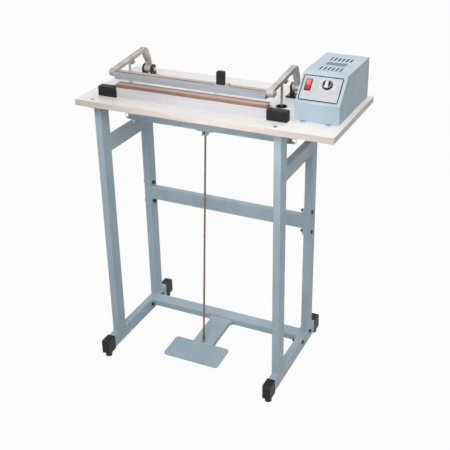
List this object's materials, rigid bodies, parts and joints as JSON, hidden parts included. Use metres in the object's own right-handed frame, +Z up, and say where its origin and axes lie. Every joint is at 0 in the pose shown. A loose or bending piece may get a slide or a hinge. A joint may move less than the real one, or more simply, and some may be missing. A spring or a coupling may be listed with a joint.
{
  "type": "impulse heat sealer",
  "caption": "Foot-pedal impulse heat sealer on a painted tube stand: laminate table, long sealing jaw with sliding cutter, hinged press arms, pull rods and a sloped control box.",
  "frame": {"origin": "on the floor, under the middle of the overall box", "axes": "+Z up, -Y towards the operator, +X towards the control box"},
  "size_m": [0.88, 0.492, 1.113],
  "materials": {
    "stand_paint": "light blue-grey enamel",
    "laminate": "off-white laminate on board with a pale beige edge band",
    "black_plastic": "fine moulded texture",
    "cast_alloy": "tumbled casting",
    "extruded_alloy": "brushed along its length",
    "black_paint": "black enamel",
    "zinc_steel": "bright zinc",
    "yellow_zinc": "yellow zinc",
    "terminal_brass": "plain",
    "ribbon_alloy": "plain",
    "ptfe_cloth": "brown coated glass cloth, slightly glossy",
    "silicone": "pale silicone",
    "panel_label": "printed light grey panel with a dark border",
    "rocker_red": "translucent red",
    "board_green": "solder mask",
    "core_iron": "varnished laminations"
  },
  "bodies": {
    "stand": {"front_left_leg": "stand_paint", "rear_left_leg": "stand_paint", "front_right_leg": "stand_paint", "rear_right_leg": "stand_paint", "left_top_rail": "stand_paint", "right_top_rail": "stand_paint", "left_runner": "stand_paint", "right_runner": "stand_paint", "leg_tabs": "stand_paint", "table_screws": "zinc_steel", "mid_crossbar": "stand_paint", "lower_crossbar": "stand_paint", "crossbar_bolts": "zinc_steel", "foot_caps": "black_plastic", "tabletop": "laminate", "seal_bed": "extruded_alloy", "insulation_strip": "ptfe_cloth", "heating_ribbon": "ribbon_alloy", "ptfe_cover": "ptfe_cloth", "left_end_block": "black_plastic", "right_end_block": "black_plastic", "ribbon_terminals": "terminal_brass", "left_pivot_bracket": "black_paint", "right_pivot_bracket": "black_paint", "base_screws": "zinc_steel", "pivot_pins": "zinc_steel", "pedal_hinge_pin": "zinc_steel", "left_return_spring": "zinc_steel", "right_return_spring": "zinc_steel", "spring_eyes": "zinc_steel", "limit_switch": "black_plastic", "control_cover": "stand_paint", "control_base": "stand_paint", "control_panel": "panel_label", "rocker_bezel": "black_plastic", "timer_board": "board_green", "transformer": "core_iron", "cable_gland": "black_plastic"},
    "press_arms": {"left_arm": "cast_alloy", "right_arm": "cast_alloy", "upper_bar": "extruded_alloy", "silicone_strip": "silicone", "bar_bolts": "zinc_steel"},
    "cutter": {"cutter_knob": "black_plastic", "cutter_slider": "zinc_steel", "cutter_blade": "zinc_steel"},
    "pull_frame": {"left_pull_rod": "zinc_steel", "right_pull_rod": "zinc_steel", "rod_clips": "zinc_steel", "pull_rod_nuts": "zinc_steel", "pull_beam": "stand_paint", "beam_bracket": "stand_paint", "bracket_pin": "zinc_steel"},
    "pedal_link": {"pedal_rod": "yellow_zinc", "pedal_rod_nuts": "zinc_steel"},
    "foot_pedal": {"pedal": "stand_paint"},
    "trip_lever": {"switch_lever": "zinc_steel"},
    "rocker": {"power_rocker": "rocker_red"},
    "timer": {"timer_knob": "black_plastic"}
  },
  "joints": [
    {"name": "jaw_close", "type": "hinge", "parent": "stand", "child": "press_arms", "pos_m": [-0.0585, 0.092, 1.011], "axis": [1, 0, 0], "range_deg": [0, 3.6], "stiffness_Nm_per_rad": 40, "springref_deg": -17.19},
    {"name": "cutter_run", "type": "slide", "parent": "press_arms", "child": "cutter", "axis": [1, 0, 0], "range_m": [-0.3405, 0.1052]},
    {"name": "pull_down", "type": "slide", "parent": "stand", "child": "pull_frame", "axis": [0, -0.4189, -0.908], "range_m": [0, 0.0075], "deforming": ["left_return_spring", "right_return_spring"]},
    {"name": "pedal_press", "type": "hinge", "parent": "stand", "child": "foot_pedal", "pos_m": [-0.066, 0.076, 0.052], "axis": [1, 0, 0], "range_deg": [0, 2.71]},
    {"name": "link_swing", "type": "hinge", "parent": "pull_frame", "child": "pedal_link", "pos_m": [-0.066, -0.014, 0.85], "axis": [1, 0, 0], "range_deg": [0, 0.26]},
    {"name": "switch_trip", "type": "hinge", "parent": "stand", "child": "trip_lever", "pos_m": [0.09, 0.0015, 0.88405], "axis": [1, 0, 0], "range_deg": [0, 10.1]},
    {"name": "power_switch", "type": "hinge", "parent": "stand", "child": "rocker", "pos_m": [0.309, -0.06574, 1.08054], "axis": [1, 0, 0], "range_deg": [-16, 0]},
    {"name": "timer_turn", "type": "hinge", "parent": "stand", "child": "timer", "pos_m": [0.367, -0.06174, 1.08502], "axis": [0, -0.7119, 0.7023], "range_deg": [-135, 135]}
  ],
  "couplings": [
    {"joint": "pull_down", "follows": "jaw_close", "m_per_rad": 0.11849},
    {"joint": "pedal_press", "follows": "jaw_close", "ratio": 0.7382},
    {"joint": "link_swing", "follows": "jaw_close", "ratio": 0.066459},
    {"joint": "switch_trip", "follows": "jaw_close", "ratio": 2.7778}
  ]
}
